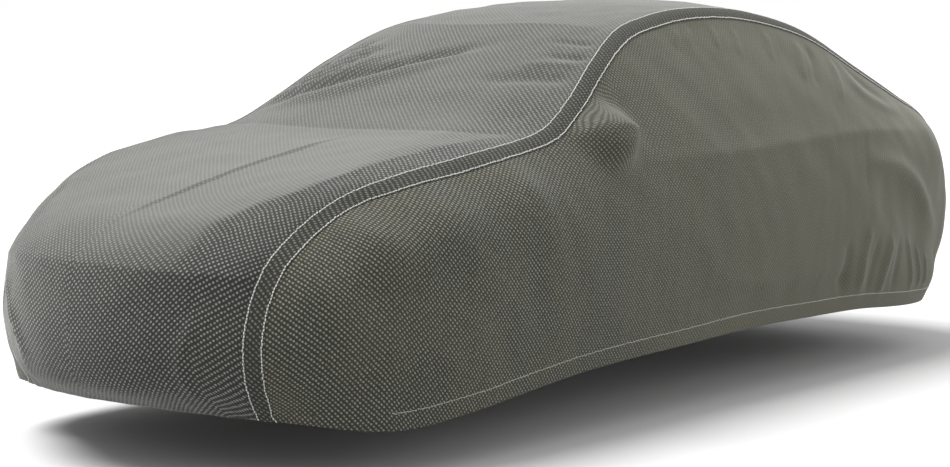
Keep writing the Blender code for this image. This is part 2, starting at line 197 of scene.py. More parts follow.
# Folds, each along a curve through its points, as ridges or troughs (height below 0). A
# sharpness of 2 is a round fold, and 1 has a crisp crest. Points of the side panel are (y, z).
SIDE_FOLDS = [
    # name, width, height, sharpness, points
    ("belt", 0.050, 0.014, 1.0,
     [(-0.50, 0.945), (0.10, 0.952), (0.59, 0.970), (0.93, 0.985), (1.27, 0.996), (1.55, 0.990),
      (2.05, 0.968)]),
    ("panel_line", 0.012, -0.004, 1.0, [(1.285, 1.010), (1.235, 0.880), (1.205, 0.740)]),
    ("arch", 0.048, 0.022, 2.0,
     [(1.20, 0.880), (1.38, 0.855), (1.57, 0.815), (1.69, 0.735), (1.80, 0.645), (1.99, 0.505)]),
    ("arch_hollow", 0.110, -0.018, 2.0, [(1.25, 0.720), (1.50, 0.690), (1.66, 0.550), (1.78, 0.40)]),
    ("gather_0", 0.030, -0.010, 2.0, [(1.04, 0.560), (1.03, 0.450), (1.02, 0.330)]),
    ("gather_1", 0.026, 0.014, 2.0, [(1.23, 0.610), (1.17, 0.480), (1.14, 0.320)]),
    ("gather_1b", 0.022, -0.008, 2.0, [(1.30, 0.560), (1.25, 0.440), (1.21, 0.310)]),
    ("gather_2", 0.030, 0.018, 2.0, [(1.43, 0.560), (1.36, 0.420), (1.32, 0.300)]),
    ("gather_2b", 0.024, -0.008, 2.0, [(1.52, 0.540), (1.48, 0.420), (1.45, 0.300)]),
    ("gather_3", 0.022, 0.012, 2.0, [(1.61, 0.540), (1.64, 0.400), (1.65, 0.290)]),
    ("gather_4", 0.016, 0.010, 2.0, [(1.74, 0.480), (1.75, 0.380), (1.75, 0.290)]),
    ("gather_5", 0.014, 0.008, 2.0, [(1.83, 0.440), (1.83, 0.360), (1.82, 0.290)]),
    ("sill_edge", 0.030, 0.012, 1.0,
     [(-0.07, 0.458), (0.21, 0.463), (0.44, 0.438), (0.67, 0.445), (0.91, 0.456), (1.06, 0.466)]),
    ("sill_shade", 0.050, -0.017, 1.5, [(0.00, 0.375), (0.50, 0.375), (0.95, 0.390), (1.08, 0.40)]),
    ("rail_1", 0.016, 0.006, 2.0, [(0.22, 1.420), (0.19, 1.390), (0.15, 1.350)]),
    ("rail_2", 0.014, 0.006, 2.0, [(0.31, 1.430), (0.27, 1.390), (0.24, 1.360)]),
    ("rail_3", 0.018, 0.007, 2.0, [(0.47, 1.430), (0.45, 1.390), (0.43, 1.350)]),
    ("rail_4", 0.016, 0.006, 2.0, [(0.62, 1.430), (0.59, 1.370), (0.56, 1.320)]),
    ("rail_5", 0.018, 0.007, 2.0, [(0.86, 1.410), (0.83, 1.350), (0.79, 1.290)]),
    ("rail_6", 0.022, 0.010, 2.0, [(1.08, 1.370), (1.03, 1.300), (0.97, 1.210)]),
    ("rail_7", 0.022, -0.009, 2.0, [(1.16, 1.350), (1.12, 1.270), (1.05, 1.180)]),
    ("rail_8", 0.024, 0.009, 2.0, [(1.32, 1.300), (1.27, 1.210), (1.19, 1.120)]),
    ("quarter_1", 0.020, -0.008, 2.0, [(1.39, 1.290), (1.50, 1.190), (1.70, 1.090)]),
    ("quarter_2", 0.030, 0.010, 2.0, [(1.36, 1.220), (1.50, 1.130), (1.80, 1.060)]),
    ("pocket_edge", 0.026, 0.014, 1.0,
     [(-0.70, 1.105), (-0.61, 1.100), (-0.53, 1.090), (-0.44, 1.078), (-0.37, 1.065)]),
    ("pillar_pull", 0.022, 0.008, 2.0, [(-0.60, 1.180), (-0.52, 1.170), (-0.42, 1.150)]),
]

# Folds of the centre panel over (x, y), seen from above
CENTRE_FOLDS = [
    # name, width, height, sharpness, points
    ("cowl", 0.045, -0.012, 1.0,
     [(-0.73, -0.84), (-0.62, -0.96), (-0.30, -1.03), (0.0, -1.04), (0.30, -1.03),
      (0.62, -0.96), (0.73, -0.84)]),
    ("header", 0.050, 0.010, 1.0,
     [(-0.56, -0.15), (-0.30, -0.27), (0.0, -0.325), (0.30, -0.27), (0.56, -0.15)]),
    ("streak_a", 0.012, -0.020, 1.5, [(-0.66, -0.60), (-0.56, -0.49), (-0.34, -0.36)]),
    ("ridge_ab", 0.023, 0.018, 2.0, [(-0.60, -0.70), (-0.45, -0.58), (-0.30, -0.43)]),
    ("streak_b", 0.012, -0.020, 1.5, [(-0.56, -0.74), (-0.40, -0.61), (-0.26, -0.46)]),
    ("ridge_bc", 0.023, 0.020, 2.0, [(-0.64, -0.77), (-0.37, -0.69), (-0.14, -0.51)]),
    ("trough_c", 0.028, -0.027, 2.0,
     [(-0.62, -0.81), (-0.35, -0.73), (-0.10, -0.63), (0.06, -0.545), (0.22, -0.46)]),
    ("ridge_c", 0.036, 0.018, 2.0, [(-0.52, -0.88), (-0.17, -0.765), (0.15, -0.56)]),
    ("pillar_1", 0.032, -0.012, 2.0, [(0.36, -0.69), (0.54, -0.58), (0.67, -0.50)]),
    ("pillar_2", 0.018, -0.009, 2.0, [(0.50, -0.45), (0.59, -0.40), (0.66, -0.35)]),
    ("pillar_3", 0.018, -0.007, 2.0, [(0.46, -0.35), (0.53, -0.32), (0.60, -0.28)]),
    ("pillar_4", 0.020, 0.006, 2.0, [(0.44, -0.56), (0.55, -0.48), (0.64, -0.43)]),
    ("curl", 0.012, -0.005, 2.0, [(-0.09, -0.545), (-0.085, -0.60), (-0.07, -0.65)]),
]

# Folds of the nose over (x, z), seen from the front
NOSE_FOLDS = [
    # name, width, height, sharpness, points
    ("edge", 0.065, 0.020, 1.0,
     [(-0.70, 0.650), (-0.40, 0.675), (0.00, 0.678), (0.30, 0.672), (0.52, 0.660), (0.70, 0.640)]),
    ("corner_1", 0.022, 0.010, 1.5, [(-0.50, 0.64), (-0.42, 0.55), (-0.30, 0.40), (-0.30, 0.26)]),
    ("corner_2", 0.014, 0.006, 1.5, [(-0.40, 0.53), (-0.30, 0.42), (-0.23, 0.32)]),
    ("corner_3", 0.016, 0.006, 1.5, [(0.50, 0.60), (0.44, 0.50), (0.40, 0.36), (0.42, 0.26)]),
]

# The crease along the bonnet's middle, and the one along each of its shoulders with the height
# that the cloth stands up along it
BONNET_LINE = [
    # x,     y
    (0.000, -2.150), (0.045, -2.030), (0.080, -1.870), (0.105, -1.680),
    (0.125, -1.480), (0.135, -1.300), (0.135, -1.120),
]
BONNET_LINE_WIDTH = 0.016
BONNET_LINE_SLOPE = 0.128
BONNET_LINE_HEIGHT = 0.0080
BONNET_SHOULDER = [
    # y,     x,     height
    (-2.26, 0.38, 0.000),
    (-2.08, 0.41, 0.004),
    (-1.94, 0.47, 0.016),
    (-1.80, 0.550, 0.026),
    (-1.61, 0.605, 0.030),
    (-1.40, 0.638, 0.028),
    (-1.20, 0.655, 0.023),
    (-1.05, 0.668, 0.015),
    (-0.93, 0.690, 0.000),
]
SHOULDER_INBOARD = 0.150
SHOULDER_OUTBOARD = 0.110

# Columns of half the centre panel between its middle, the bonnet line, the shoulder crease and
# the tape. They close up around the two creases, over these widths and at most these shares of
# the room there. The creases themselves stay within the two limits, in shares of the half width.
COLUMN_COUNTS = [4, 5, 5, 12, 8, 8, 5]
CLOSE_WIDTHS = (0.022, 0.050)
CLOSE_SHARES = (0.8, 0.6)
CREASE_LIMITS = (0.06, 0.88)
LAST_COLUMN_ROOM = 0.02
CROSSING_ROUNDS = 40

# A fold rises and falls between these shares of its length, and the crease along the bonnet's
# middle rises later. Folds flatten out towards the tape: on the centre panel between these shares
# of its half width, on a side panel over this distance from the tape.
FOLD_RISE = (-0.05, 0.25)
FOLD_FALL = (1.05, 0.75)
BONNET_LINE_RISE = (-0.02, 0.35)
CENTRE_FOLD_END = (0.90, 0.97)
SIDE_FOLD_START = 0.03

# Heights z and places y between which the folds of the centre panel and of the nose set in
CENTRE_FOLDS_Z = (0.60, 0.80)
CENTRE_FOLDS_Y = (1.9, 1.2)
NOSE_FOLDS_Z = (0.90, 0.78)
NOSE_FOLDS_Y = (-1.6, -1.9)

# Soft unevenness of the cloth, as waves whose lines bend: lengths, height and bend in metres,
# turns of the bend in radians per metre, and the power of the length that their height follows.
# On the side panels it ends over the last share of each column.
UNEVEN_WAVES = 14
UNEVEN_LENGTHS = (0.10, 0.45)
UNEVEN_HEIGHT = 0.00256
UNEVEN_POWER = 0.7
UNEVEN_BEND = 0.12
UNEVEN_BEND_RATE = 5
UNEVEN_END = 0.1
CENTRE_SEED = 11
SIDE_SEED = 23

# Survey of the side panel for its cloth coordinates: y and z from, to and count. The extra cloth
# over the mirror swelling is taken from the cloth between these distances from its middle.
SURVEY_Y = (-2.15, 2.45, 461)
SURVEY_Z = (0.10, 1.55, 146)
MIRROR_CLOTH_REACH = (0.42, 0.26)
MIRROR_CLOTH_CORE = 0.12

# Dots of the cloth: radii at which they are full and gone, stray and weakest strength, in shares
# of their pitch and strength. They are drawn out along one diagonal, or low down along the other.
DOT_RADII = (0.15, 0.33)
DOT_STRAY = 0.14
DOT_WEAKEST = 0.70
DOT_STRETCH = (0.72, 1.0, 0.0)
DOT_STRETCH_LOW = (1.0, 0.80, 0.0)
DOT_TURN_BAND = 0.12

# Where the cloth turns to its plain colour, from and to: places in the part's frame, or
# distances past the bonnet's shoulder crease. Beyond them these shares are left or lost.
# Towards the rear the dots flatten and the ground turns plain. High up the plain, lighter
# colour is painted light from above: on the roof and the windscreen's upper part, and on the
# centre panel's upper side, fully between the bonnet's shoulder creases. Past the creases and on
# the windscreen's sides it is held back as painted shade.
REAR_FADE_Y = (-1.5, 0.9)
ROOF_LIGHT_Z = (0.86, 1.12)
ROOF_LIGHT_SHARE = 0.45
PAINTED_LIGHT_Z = (0.46, 0.68)
PAINTED_LIGHT_PAST_CREASE = (-0.030, 0.010)
PAINTED_LIGHT_LEFT_PAST_CREASE = 0.15
PAINTED_LIGHT_ROOF_Z = (0.85, 1.05)
PAINTED_LIGHT_LEFT_ON_ROOF = 0.60
PAINTED_LIGHT_SCREEN_Z = (0.80, 0.86)
PAINTED_LIGHT_SCREEN_X = (0.44, 0.62)
PAINTED_LIGHT_LOST_ASIDE = 0.65
PAINTED_LIGHT_DOTS_SHARE = 0.7

# Weave and patches of the cloth: noise scales per metre of cloth, the noise values between which
# they set in, the weave's pale colour and its share in colour and relief. Then the thread's twist.
WEAVE_SCALE = 380.0
WEAVE_BAND = (0.30, 0.70)
PATCH_SCALE = 3.2
PATCH_BAND = (0.36, 0.64)
WEAVE_COLOUR = (0.09, 0.09, 0.08)
WEAVE_SHARE = 0.20
WEAVE_RELIEF_SHARE = 0.25
RELIEF = 0.0020
RELIEF_STRENGTH = 0.7
THREAD_SCALE = 260.0
THREAD_BAND = (0.35, 0.60)
THREAD_DARK_SHARE = 0.7

# Camera in the tables' frame: place, lens in millimetres, and tilt and turn in degrees
CAMERA_PLACE = np.array([5.20, -6.65, 1.42])
CAMERA_LENS = 80.34
CAMERA_TILT = 84.5
CAMERA_TURN = 39.1

# Half the floor's width, in metres
FLOOR_HALF = 150.0


def smooth_curve(points, measured=3):
    """Curve through rows of values as a function of the row's number.

    Its tangents follow the chord lengths of the first measured values of each row.
    """
    points = np.array(points, float)
    chords = np.linalg.norm(np.diff(points[:, :measured], axis=0), axis=1)
    slopes = np.diff(points, axis=0) / chords[:, None]
    before = chords[:-1, None]
    after = chords[1:, None]
    middle = (slopes[:-1] * after + slopes[1:] * before) / (before + after)
    tangents = np.vstack([slopes[:1], middle, slopes[-1:]])

    def place(number):
        i = min(int(number), len(chords) - 1)
        f = number - i
        return (
            points[i] * (1 + 2 * f) * (1 - f) ** 2
            + tangents[i] * chords[i] * f * (1 - f) ** 2
            + points[i + 1] * f * f * (3 - 2 * f)
            + tangents[i + 1] * chords[i] * f * f * (f - 1)
        )

    return place


def smooth_surface(places, values):
    """Thin-plate surface through scattered places in a plane, as a function of new places."""
    count = len(places)

    def kernel(new):
        square = ((new[:, None, :] - places[None, :, :]) ** 2).sum(axis=2)
        return square * np.log(square + 1e-12)

    def plane(new):
        return np.hstack([np.ones((len(new), 1)), new])

    system = np.zeros((count + 3, count + 3))
    system[:count, :count] = kernel(places)
    system[:count, count:] = plane(places)
    system[count:, :count] = plane(places).T
    weights = np.linalg.solve(system, np.append(values, np.zeros(3)))

    def height(new):
        return kernel(new) @ weights[:count] + plane(new) @ weights[count:]

    return height


def unit(vectors):
    """Vectors brought to a length of 1."""
    return vectors / np.maximum(np.linalg.norm(vectors, axis=-1, keepdims=True), 1e-12)


def fade(value, start, end):
    """0 before start, 1 after end, smooth between them."""
    f = np.clip((value - start) / (end - start), 0.0, 1.0)
    return f * f * (3 - 2 * f)


def taper(share, rise):
    """Height along a fold in shares: up between the two shares of its length, down at its end."""
    return fade(share, *rise) * fade(share, *FOLD_FALL)


def near_curve(places, curve):
    """Distance of places to a polyline in a plane, and how far along it they lie, 0 to 1."""
    best = np.full(places.shape[:-1], np.inf)
    share = np.zeros(places.shape[:-1])
    steps = len(curve) - 1
    for i in range(steps):
        start = curve[i]
        run = curve[i + 1] - start
        f = np.clip(((places - start) @ run) / (run @ run), 0.0, 1.0)
        gap = np.linalg.norm(places - start - f[..., None] * run, axis=-1)
        closer = gap < best
        best = np.where(closer, gap, best)
        share = np.where(closer, (i + f) / steps, share)
    return best, share


def fold_height(places, folds):
    """Height of all folds of a table at places in the panel's own plane."""
    height = np.zeros(places.shape[:-1])
    for _, width, top, sharpness, points in folds:
        curve = smooth_curve(points, measured=2)
        curve = np.array([curve(n) for n in np.linspace(0, len(points) - 1, FOLD_CURVE_POINTS)])
        gap, share = near_curve(places, curve)
        height += top * taper(share, FOLD_RISE) * np.exp(-(gap / width) ** sharpness)
    return height


def swell_height(places, swells):
    """Height of all swellings of a table at places in the side panel's plane."""
    height = np.zeros(places.shape[:-1])
    for _, y, z, front, back, top, bottom, rise, bluntness in swells:
        off_y = places[..., 0] - y
        off_z = places[..., 1] - z
        square = (off_y / np.where(off_y < 0, front, back)) ** 2
        square = square + (off_z / np.where(off_z < 0, bottom, top)) ** 2
        height += rise * np.exp(-square ** bluntness)
    return height


def unevenness(places, seed):
    """Soft random waves over places in a plane."""
    chance = np.random.default_rng(seed)
    height = np.zeros(places.shape[:-1])
    for _ in range(UNEVEN_WAVES):
        turn = chance.uniform(0, 2 * math.pi)
        length = math.exp(chance.uniform(*np.log(UNEVEN_LENGTHS)))
        across = places @ np.array([math.cos(turn), math.sin(turn)])
        bend = UNEVEN_BEND * np.sin(places[..., 0] * UNEVEN_BEND_RATE + chance.uniform(0, 6))
        phase = chance.uniform(0, 2 * math.pi)
        size = (length / UNEVEN_LENGTHS[1]) ** UNEVEN_POWER
        height += size * np.sin((across + bend) * 2 * math.pi / length + phase)
    return UNEVEN_HEIGHT * height / math.sqrt(UNEVEN_WAVES)


def shoulder_height(places):
    """Height of the bonnet's two shoulder creases over (x, y): a crest with two flat flanks."""
    rows = np.array(BONNET_SHOULDER)
    half = np.stack([np.abs(places[..., 0]), places[..., 1]], axis=-1)
    gap, share = near_curve(half, rows[:, [1, 0]])
    top = np.interp(share * (len(rows) - 1), np.arange(len(rows)), rows[:, 2])
    outboard = half[..., 0] > np.interp(half[..., 1], rows[:, 0], rows[:, 1])
    inner = np.exp(-gap / SHOULDER_INBOARD)
    outer = np.clip(1 - gap / SHOULDER_OUTBOARD, 0.0, 1.0)
    return top * np.where(outboard, outer, inner)


def bonnet_line_height(places):
    """Height of the crease along the bonnet's middle: a crisp step down towards the left."""
    line = np.array(BONNET_LINE)
    gap, share = near_curve(places, line)
    left = places[..., 0] > np.interp(places[..., 1], line[:, 1], line[:, 0])
    flank = np.clip(1 - gap / BONNET_LINE_WIDTH, 0.0, 1.0)
    slope = np.exp(-gap / BONNET_LINE_SLOPE)
    return BONNET_LINE_HEIGHT * taper(share, BONNET_LINE_RISE) * np.where(left, flank, slope)


def station_numbers():
    """Section numbers of the mesh stations, from the front hem to the rear hem."""
    numbers = []
    for i, row in enumerate(SECTIONS[:-1]):
        steps = row[-1] * FINE
        numbers += [i + k / steps for k in range(steps)]
    return numbers + [len(SECTIONS) - 1]


def section_values():
    """mid_y, mid_z, seam_x, seam_y, seam_z, crown and hem_y at every station."""
    section = smooth_curve([row[1:8] for row in SECTIONS], measured=5)
    return np.array([section(number) for number in station_numbers()])


def grid_normals(grid):
    """Outward unit normals of a grid whose rows run to the rear and columns to the left or down."""
    return unit(np.cross(np.gradient(grid, axis=1), np.gradient(grid, axis=0)))


def lengths(grid, axis, start):
    """Length along the grid's lines on one axis, counted from index start."""
    steps = np.linalg.norm(np.diff(grid, axis=axis), axis=-1)
    total = np.insert(np.cumsum(steps, axis=axis), 0, 0.0, axis=axis)
    return total - np.take(total, [start], axis=axis)


def crossing_share(values, line_x, line_y):
    """Share of the half width at which a line over (x, y) crosses each station's section."""
    mid_y, seam_x, seam_y, crown = values[:, 0], values[:, 2], values[:, 3], values[:, 5]
    share = np.full(len(values), 0.5)
    for _ in range(CROSSING_ROUNDS):
        y = mid_y + (seam_y - mid_y) * share ** crown
        share = 0.5 * share + 0.5 * np.interp(y, line_y, line_x) / seam_x
    return share


def column_shares(values):
    """Shares of the half width of the centre panel's columns, one row for each station."""
    seam_x = values[:, 2]
    line = np.array(BONNET_LINE)
    shoulder = np.array(BONNET_SHOULDER)
    least, most = CREASE_LIMITS
    inner = np.maximum(crossing_share(values, line[:, 0], line[:, 1]), least)
    outer = np.minimum(crossing_share(values, shoulder[:, 1], shoulder[:, 0]), most)
    near_inner, near_outer = (width / seam_x for width in CLOSE_WIDTHS)
    near_inner = np.minimum(near_inner, CLOSE_SHARES[0] * inner)
    near_outer = np.minimum(near_outer, CLOSE_SHARES[1] * (1 - outer))
    last = 1 - TAPE_HALF_WIDTH / seam_x
    before_last = np.minimum(outer + near_outer, last - LAST_COLUMN_ROOM)
    marks = [0 * inner, inner - near_inner, inner, inner + near_inner,
             outer - near_outer, outer, before_last, last]
    columns = [marks[0][:, None]]
    for count, start, end in zip(COLUMN_COUNTS, marks[:-1], marks[1:]):
        part = np.arange(1, count + 1)[None, :] / count
        columns.append(start[:, None] + (end - start)[:, None] * part)
    half_way = (1 + last) / 2
    return np.hstack(columns + [half_way[:, None], np.ones((len(values), 1))])


def centre_grid(values):
    """Points and cloth coordinates of the centre panel, from the right seam to the left one."""
    half = column_shares(values)
    across = np.hstack([-half[:, :0:-1], half])
    mid_y, mid_z, seam_x, seam_y, seam_z, crown = (values[:, k, None] for k in range(6))
    rise = np.abs(across) ** crown
    grid = np.stack([
        seam_x * across,
        mid_y + (seam_y - mid_y) * rise,
        mid_z + (seam_z - mid_z) * rise,
    ], axis=-1)
    middle = across.shape[1] // 2
    station = int(np.argmin(np.abs(values[:, 0])))
    along_middle = lengths(grid, 0, station)
    even = 0.5 * along_middle + 0.5 * along_middle[:, [middle]]
    cloth = np.stack([lengths(grid, 1, middle), even], axis=-1)

    x, y, z = np.moveaxis(grid, -1, 0)
    plan = np.stack([x, y], axis=-1)
    face = np.stack([x, z], axis=-1)
    clear = 1 - fade(np.abs(across), *CENTRE_FOLD_END)
    upper = fade(z, *CENTRE_FOLDS_Z) * fade(y, *CENTRE_FOLDS_Y)
    front = fade(y, *NOSE_FOLDS_Y) * fade(z, *NOSE_FOLDS_Z)
    height = fold_height(plan, CENTRE_FOLDS) * clear * upper
    height += (bonnet_line_height(plan) + shoulder_height(plan)) * upper
    height += fold_height(face, NOSE_FOLDS) * front * clear
    height += unevenness(cloth, CENTRE_SEED) * clear
    return grid + grid_normals(grid) * height[..., None], cloth


def side_surface(values):
    """Lower edge (y, z) of the side panel, and its half width as a function of places (y, z)."""
    seam = values[::FINE, 2:5]
    hem_curve = smooth_curve([tuple(seam[0])] + HEM_LINE + [tuple(seam[-1])])
    hem = np.array([hem_curve(n) for n in np.linspace(0, len(HEM_LINE) + 1, HEM_SAMPLES)])
    hem_known = hem[HEM_SAMPLE_STEP:-HEM_SAMPLE_STEP:HEM_SAMPLE_STEP]
    levels = np.array([row for level in SIDE_LEVELS.values() for row in level])
    known = np.vstack([seam[:, [1, 2, 0]], hem_known[:, [1, 2, 0]], levels])
    return hem[:, 1:], smooth_surface(known[:, :2], known[:, 2])


def look_up(field, y, z, places):
    """Value of a field on the regular grid y by z at places (y, z)."""
    i = np.clip((places[..., 0] - y[0]) / (y[1] - y[0]), 0, len(y) - 1.001)
    k = np.clip((places[..., 1] - z[0]) / (z[1] - z[0]), 0, len(z) - 1.001)
    i0, k0 = i.astype(int), k.astype(int)
    part_i, part_k = i - i0, k - k0
    low = field[i0, k0] * (1 - part_i) + field[i0 + 1, k0] * part_i
    high = field[i0, k0 + 1] * (1 - part_i) + field[i0 + 1, k0 + 1] * part_i
    return low * (1 - part_k) + high * part_k


def side_cloth_coordinates(places, half_width):
    """Cloth coordinates over (y, z): lengths along level lines and along upright lines.

    The extra cloth over the mirror swelling is taken from the cloth around it.
    """
    y = np.linspace(*SURVEY_Y)
    z = np.linspace(*SURVEY_Z)
    flat = np.stack(np.meshgrid(y, z, indexing="ij"), axis=-1)
    plain = half_width(flat.reshape(-1, 2)).reshape(len(y), len(z))
    full = plain + swell_height(flat, SIDE_SWELLS[:1])
    mirror = SIDE_SWELLS[0][1:3]
    result = []
    for axis, line in enumerate((y, z)):
        start = int(np.argmin(np.abs(line - mirror[axis])))
        sheets = [np.concatenate([x[..., None], flat], axis=-1) for x in (plain, full)]
        base, swollen = (lengths(sheet, axis, start) for sheet in sheets)
        away = np.abs(flat[..., axis] - mirror[axis])
        spread = fade(away, MIRROR_CLOTH_REACH[axis], MIRROR_CLOTH_CORE)
        result.append(look_up(base + (swollen - base) * spread, y, z, places))
    return np.stack(result, axis=-1)


def tape_width(values):
    """Width of the tape's lower half at every station."""
    y = values[:, 3]
    extra = TAPE_BONNET_EXTRA * fade(y, *TAPE_BONNET_Y) + TAPE_ROOF_EXTRA * fade(y, *TAPE_ROOF_Y)
    return TAPE_HALF_WIDTH + extra * fade(y, *TAPE_REAR_Y)


def side_grid(values):
    """Points and cloth coordinates of the left side panel, from the seam down to the hem."""
    hem, half_width = side_surface(values)
    seam = values[:, 2:5]
    foot = np.stack([values[:, 6], np.interp(values[:, 6], hem[:, 0], hem[:, 1])], axis=1)
    flat = seam[:, 1:]
    direction = unit(np.gradient(flat, axis=0))
    inward = np.stack([direction[:, 1], -direction[:, 0]], axis=1)
    width = tape_width(values)
    edge = flat + inward * width[:, None]
    slope = (half_width(edge) - half_width(flat)) / width
    strip = flat + inward * (width / np.sqrt(1 + slope ** 2))[:, None]
    strip[0] = foot[0]
    strip[-1] = foot[-1]

    length = np.linalg.norm(foot - strip, axis=1)
    hem_part = np.minimum(HEM_HEIGHT / np.maximum(length, 1e-6), LARGEST_HEM_PART)[:, None]
    upper = np.linspace(0.0, 1.0, SIDE_ROWS + 1)[None, :] * (1 - hem_part)
    lower = 1 - hem_part * (1 - np.linspace(0.0, 1.0, HEM_ROWS + 1)[None, 1:])
    parts = np.hstack([upper, lower])
    places = strip[:, None, :] + (foot - strip)[:, None, :] * parts[..., None]
    middle = (flat + strip) / 2
    places = np.concatenate([flat[:, None, :], middle[:, None, :], places], axis=1)
    parts = np.hstack([np.zeros((len(values), UNDER_TAPE)), parts])

    x = half_width(places.reshape(-1, 2)).reshape(places.shape[:2])
    x[:, 0] = seam[:, 0]
    x[:, 1] = (x[:, 0] + x[:, 2]) / 2
    cloth = side_cloth_coordinates(places, half_width)
    relief = fold_height(places, SIDE_FOLDS) + swell_height(places, SIDE_SWELLS)
    relief += unevenness(cloth, SIDE_SEED) * fade(1 - parts, 0.0, UNEVEN_END)
    x += relief * fade(parts * length[:, None], 0.0, SIDE_FOLD_START)
    return np.concatenate([x[..., None], places], axis=-1), cloth


def grid_quads(rows, columns):
    """Outward quads of a grid."""
    quads = []
    for row in range(rows - 1):
        start = row * columns
        for column in range(columns - 1):
            a = start + column
            quads.append((a, a + 1, a + columns + 1, a + columns))
    return quads


def add_piece(name, points, faces, material, mirrored=False, turned=False):
    """Piece of the part in its own frame from points in the tables' frame."""
    points = points.reshape(-1, 3) - ORIGIN
    if mirrored:
        points = points * MIRROR
    if mirrored != turned:
        faces = [face[::-1] for face in faces]
    mesh = bpy.data.meshes.new(name)
    mesh.from_pydata(points.tolist(), [], faces)
    mesh.materials.append(material)
    mesh.shade_smooth()
    piece = bpy.data.objects.new(name, mesh)
    bpy.context.scene.collection.objects.link(piece)
    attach(piece, "root")
    return piece


def add_grid(name, grid, cloth, material, mirrored=False):
    """Sheet of quads with its cloth coordinates as a UV map."""
    piece = add_piece(name, grid, grid_quads(*grid.shape[:2]), material, mirrored)
    mesh = piece.data
    uv = mesh.uv_layers.new(name="cloth")
    index = np.zeros(len(mesh.loops), int)
    mesh.loops.foreach_get("vertex_index", index)
    uv.data.foreach_set("uv", cloth.reshape(-1, 2)[index].ravel())
    return piece


def rolled_hem(edge, before, cloth, normals):
    """Rows that turn the hem in past a panel's edge and run back up inside the cloth.

    The panel's edge and the row before it are lines of points. The hem's rows follow on axis 1.
    """
    down = unit(edge - before)
    rows, marks = [], []
    for turn in HEM_TURNS:
        rows.append(edge - normals * HEM_ROLL * (1 - math.cos(turn))
                    + down * HEM_ROLL * math.sin(turn))
        marks.append(HEM_ROLL * turn)
    for back in HEM_INSIDE_SHARES:
        rows.append(edge - normals * 2 * HEM_ROLL - down * HEM_INSIDE * back)
        marks.append(HEM_ROLL * math.pi + HEM_INSIDE * back)
    added_cloth = cloth[:, None, :] + np.array([0.0, -1.0]) * np.array(marks)[None, :, None]
    return np.stack(rows, axis=1), added_cloth


def side_with_hem(side, cloth, normals):
    """The side panel with its rolled hem past the last column."""
    hem, hem_cloth = rolled_hem(side[:, -1], side[:, -2], cloth[:, -1], normals[:, -1])
    return np.concatenate([side, hem], axis=1), np.concatenate([cloth, hem_cloth], axis=1)


def centre_with_hems(centre, cloth, normals):
    """The centre panel with a rolled hem before its first row and after its last one."""
    front = rolled_hem(centre[0], centre[1], cloth[0], normals[0])
    rear = rolled_hem(centre[-1], centre[-2], cloth[-1], normals[-1])
    front = [np.swapaxes(rows, 0, 1)[::-1] for rows in front]
    rear = [np.swapaxes(rows, 0, 1) for rows in rear]
    return [np.concatenate(parts, axis=0) for parts in zip(front, (centre, cloth), rear)]


def sink_under_tape(centre, side, seam_normal):
    """Sinks the panels' edges along both seams so that they meet under the tape's arc."""
    middle = (centre[:, -1 - UNDER_TAPE] + side[:, UNDER_TAPE]) / 2
    dive = np.linalg.norm(centre[:, -1] - middle, axis=1) / 2 + DIVE_CLEARANCE
    for column, share in enumerate(DIVE_SHARES):
        sink = seam_normal * (dive * share)[:, None]
        centre[:, -1 - column] -= sink
        centre[:, column] -= sink * MIRROR
        side[:, column] -= sink


class Nodes:
    """Short ways to add and join shader nodes."""

    def __init__(self, tree):
        self.tree = tree

    def join(self, value, socket):
        if isinstance(value, bpy.types.NodeSocket):
            self.tree.links.new(value, socket)
        elif value is not None:
            socket.default_value = value

    def math(self, kind, a, b=None):
        node = self.tree.nodes.new("ShaderNodeMath")
        node.operation = kind
        self.join(a, node.inputs[0])
        self.join(b, node.inputs[1])
        return node.outputs[0]

    def vector(self, kind, a, b=None, out=0):
        node = self.tree.nodes.new("ShaderNodeVectorMath")
        node.operation = kind
        self.join(a, node.inputs[0])
        self.join(b, node.inputs[1])
        return node.outputs[out]

    def ramp(self, value, low, high, to_low=0.0, to_high=1.0):
        node = self.tree.nodes.new("ShaderNodeMapRange")
        node.interpolation_type = "SMOOTHSTEP"
        self.join(value, node.inputs["Value"])
        node.inputs["From Min"].default_value = low
        node.inputs["From Max"].default_value = high
        node.inputs["To Min"].default_value = to_low
        node.inputs["To Max"].default_value = to_high
        return node.outputs[0]

    def mix(self, share, a, b):
        """Mix of two colours. Inputs 6 and 7 and output 2 are this node's colour sockets."""
        node = self.tree.nodes.new("ShaderNodeMix")
        node.data_type = "RGBA"
        self.join(share, node.inputs[0])
        self.join(a, node.inputs[6])
        self.join(b, node.inputs[7])
        return node.outputs[2]

    def noise(self, vector, scale, detail):
        node = self.tree.nodes.new("ShaderNodeTexNoise")
        self.join(vector, node.inputs["Vector"])
        node.inputs["Scale"].default_value = scale
        node.inputs["Detail"].default_value = detail
        return node.outputs[0]


